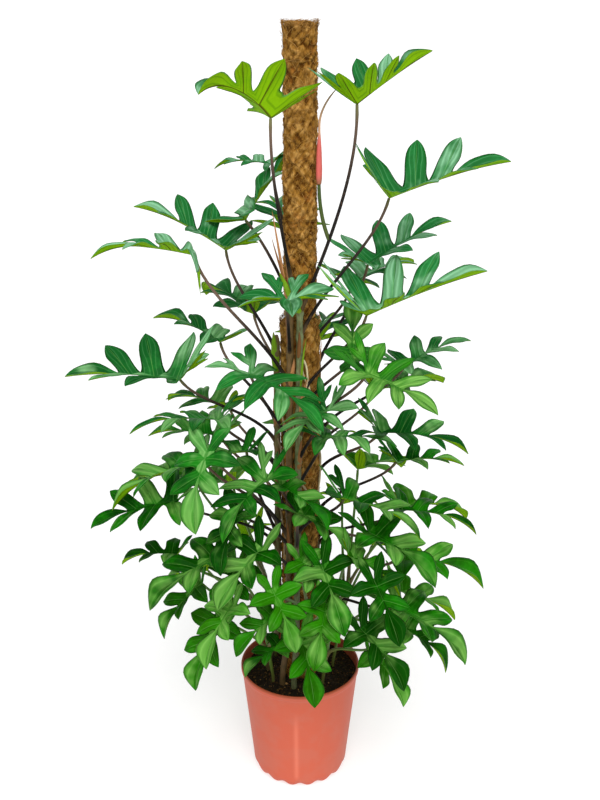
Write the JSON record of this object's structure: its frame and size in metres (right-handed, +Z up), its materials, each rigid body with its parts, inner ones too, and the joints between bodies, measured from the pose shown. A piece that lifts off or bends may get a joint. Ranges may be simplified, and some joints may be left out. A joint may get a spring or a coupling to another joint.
{
  "type": "potted philodendron pedatum",
  "caption": "Potted climbing houseplant: deeply cut green leaves on dark stalks and stems round a coir pole, standing in soil in a thin tapered nursery pot.",
  "frame": {"origin": "middle of the pot's underside, on the surface it stands on", "axes": "+Z up along the pole, -Y towards the camera of the picture, +X to the picture's right"},
  "size_m": [0.7863, 0.6868, 1.46],
  "materials": {
    "pot": "matte",
    "soil": "rough",
    "coir": "rough",
    "stem": "satin",
    "leaf": "satin",
    "sheath": "satin"
  },
  "bodies": {
    "root": {"pot": "pot", "soil": "soil", "pole_lower": "coir", "pole_upper": "coir", "vine_front": "stem", "vine_centre": "stem", "vine_right": "stem", "vine_back": "stem", "vine_left": "stem", "shoot_front": "leaf", "shoot_right": "leaf", "shoot_left": "leaf", "shoot_east": "leaf", "shoot_west": "leaf", "growing_tip": "sheath", "leaf_01": "leaf", "leaf_02": "leaf", "leaf_03": "leaf", "leaf_04": "leaf", "leaf_05": "leaf", "leaf_06": "leaf", "leaf_07": "leaf", "leaf_08": "leaf", "leaf_09": "leaf", "leaf_10": "leaf", "leaf_11": "leaf", "leaf_12": "leaf", "leaf_13": "leaf", "leaf_14": "leaf", "leaf_15": "leaf", "leaf_16": "leaf", "leaf_17": "leaf", "leaf_18": "leaf", "leaf_19": "leaf", "leaf_20": "leaf", "leaf_21": "leaf", "leaf_22": "leaf", "leaf_23": "leaf", "leaf_24": "leaf", "leaf_25": "leaf", "leaf_26": "leaf", "leaf_27": "leaf", "leaf_28": "leaf", "leaf_29": "leaf", "leaf_30": "leaf", "leaf_31": "leaf", "leaf_32": "leaf", "leaf_33": "leaf", "leaf_34": "leaf", "leaf_35": "leaf", "leaf_36": "leaf", "leaf_37": "leaf", "leaf_38": "leaf", "leaf_39": "leaf", "leaf_40": "leaf", "leaf_41": "leaf", "leaf_42": "leaf", "leaf_43": "leaf", "leaf_44": "leaf", "leaf_45": "leaf"}
  },
  "joints": []
}
